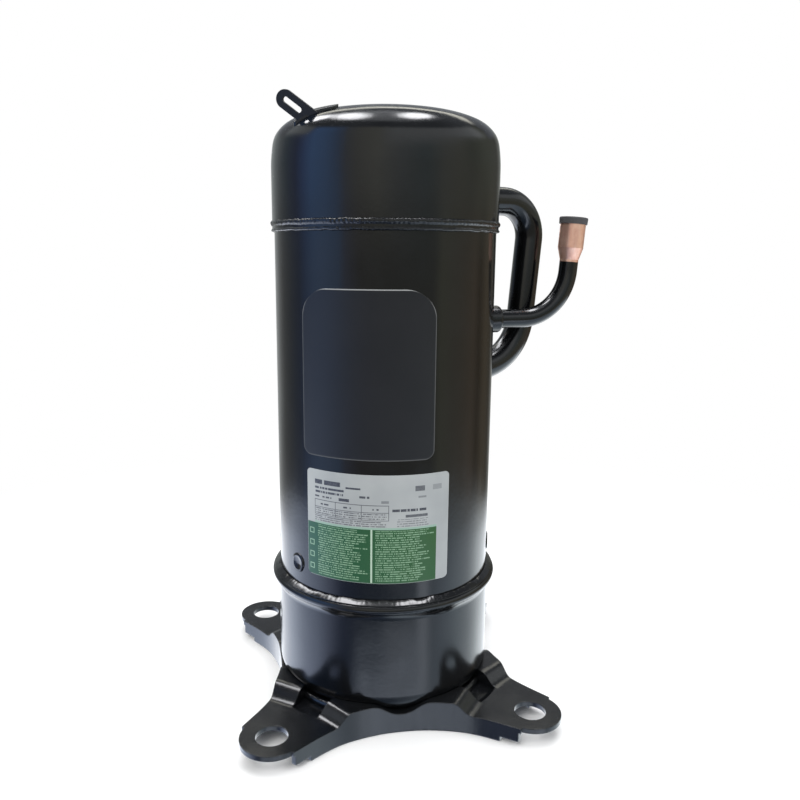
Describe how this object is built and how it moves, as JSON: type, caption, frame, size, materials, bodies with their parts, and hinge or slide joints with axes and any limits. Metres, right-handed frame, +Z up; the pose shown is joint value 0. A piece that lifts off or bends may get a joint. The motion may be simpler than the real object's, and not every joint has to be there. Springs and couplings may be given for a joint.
{
  "type": "scroll compressor",
  "caption": "Hermetic scroll compressor: welded black steel shell on a pressed cross foot plate, outside gas pipe, plugged copper stubs, motor, crank and scroll set inside.",
  "frame": {"origin": "centre of the square of four foot holes, on the underside of the feet", "axes": "+Z up along the shell axis, -Y towards the label side, +X towards the outside connecting pipe"},
  "size_m": [0.2433, 0.2084, 0.3825],
  "materials": {
    "black_gloss_paint": "gloss black enamel over steel",
    "weld_paint": "gloss black enamel over weld bead",
    "label_film": "printed label with a green band",
    "plate_film": "satin black plate",
    "copper": "drawn copper tube",
    "rubber_grey": "dark grey rubber",
    "rubber_black": "black rubber",
    "cover_plastic": "black moulded plastic",
    "glass_bead": "fused glass",
    "plated_steel": "zinc plated steel",
    "machined_steel": "ground steel",
    "cast_grey": "machined grey iron",
    "scroll_alloy": "hard anodised alloy",
    "lamination": "blued electrical steel",
    "cage_alloy": "die-cast aluminium",
    "winding": "enamelled copper winding",
    "bronze_bush": "lined bearing bush",
    "seal_polymer": "filled polymer seal",
    "lead_insulation": "silicone insulated lead",
    "magnet_ferrite": "ferrite disc"
  },
  "bodies": {
    "housing": {"body_shell": "black_gloss_paint", "top_cap": "black_gloss_paint", "bottom_cup": "black_gloss_paint", "top_seam_weld": "weld_paint", "bottom_seam_weld": "weld_paint", "plug_welds": "weld_paint", "base_plate": "black_gloss_paint", "base_welds": "weld_paint", "lifting_lug": "black_gloss_paint", "connecting_pipe": "black_gloss_paint", "connecting_pipe_collars": "weld_paint", "discharge_pipe": "black_gloss_paint", "discharge_collar": "weld_paint", "discharge_stub": "copper", "suction_pipe": "black_gloss_paint", "suction_collar": "weld_paint", "suction_stub": "copper", "terminal_body": "plated_steel", "terminal_glass": "glass_bead", "terminal_pins": "machined_steel", "terminal_stud": "plated_steel", "terminal_gasket": "rubber_black", "rating_label": "label_film", "blank_plate": "plate_film", "main_frame": "cast_grey", "main_bearing_bush": "bronze_bush", "fixed_scroll": "cast_grey", "fixed_tip_seal": "seal_polymer", "scroll_bolts": "machined_steel", "valve_guide": "machined_steel", "valve_screws": "machined_steel", "stator_core": "lamination", "stator_coils": "winding", "thermal_protector": "cover_plastic", "lead_wires": "lead_insulation", "lower_bearing_frame": "cast_grey", "lower_bearing_bush": "bronze_bush", "thrust_plate": "machined_steel", "sump_magnet": "magnet_ferrite"},
    "discharge_cap": {"discharge_plug": "rubber_grey"},
    "suction_cap": {"suction_plug": "rubber_grey"},
    "cover": {"terminal_cover": "cover_plastic", "terminal_nut": "plated_steel"},
    "valve": {"valve_disc": "machined_steel"},
    "orbiter": {"orbiting_scroll": "scroll_alloy", "orbiting_tip_seal": "seal_polymer", "orbiting_bush": "bronze_bush"},
    "oldham": {"oldham_ring": "scroll_alloy"},
    "crank": {"crankshaft": "machined_steel", "rotor_core": "lamination", "rotor_cage": "cage_alloy", "upper_balance_weight": "machined_steel", "lower_balance_weight": "machined_steel", "oil_pickup_tube": "machined_steel"}
  },
  "joints": [
    {"name": "crank_spin", "type": "hinge", "parent": "housing", "child": "crank", "pos_m": [0, 0, 0.15], "axis": [0, 0, 1], "continuous": true},
    {"name": "scroll_orbit", "type": "hinge", "parent": "crank", "child": "orbiter", "pos_m": [0, 0.00432, 0.2575], "axis": [0, 0, 1], "continuous": true},
    {"name": "oldham_slide", "type": "slide", "parent": "housing", "child": "oldham", "axis": [1, 0, 0], "range_m": [-0.0043, 0.0043]},
    {"name": "valve_lift", "type": "slide", "parent": "housing", "child": "valve", "axis": [0, 0, 1], "range_m": [0, 0.0026]},
    {"name": "discharge_plug_pull", "type": "slide", "parent": "housing", "child": "discharge_cap", "axis": [0.0754, 0.0106, 0.9971], "range_m": [0, 0.03]},
    {"name": "suction_plug_pull", "type": "slide", "parent": "housing", "child": "suction_cap", "axis": [0, 0, 1], "range_m": [0, 0.03]},
    {"name": "terminal_cover_pull", "type": "slide", "parent": "housing", "child": "cover", "axis": [0, 1, 0], "range_m": [0, 0.04]}
  ],
  "couplings": [
    {"joint": "scroll_orbit", "follows": "crank_spin", "ratio": -1}
  ]
}
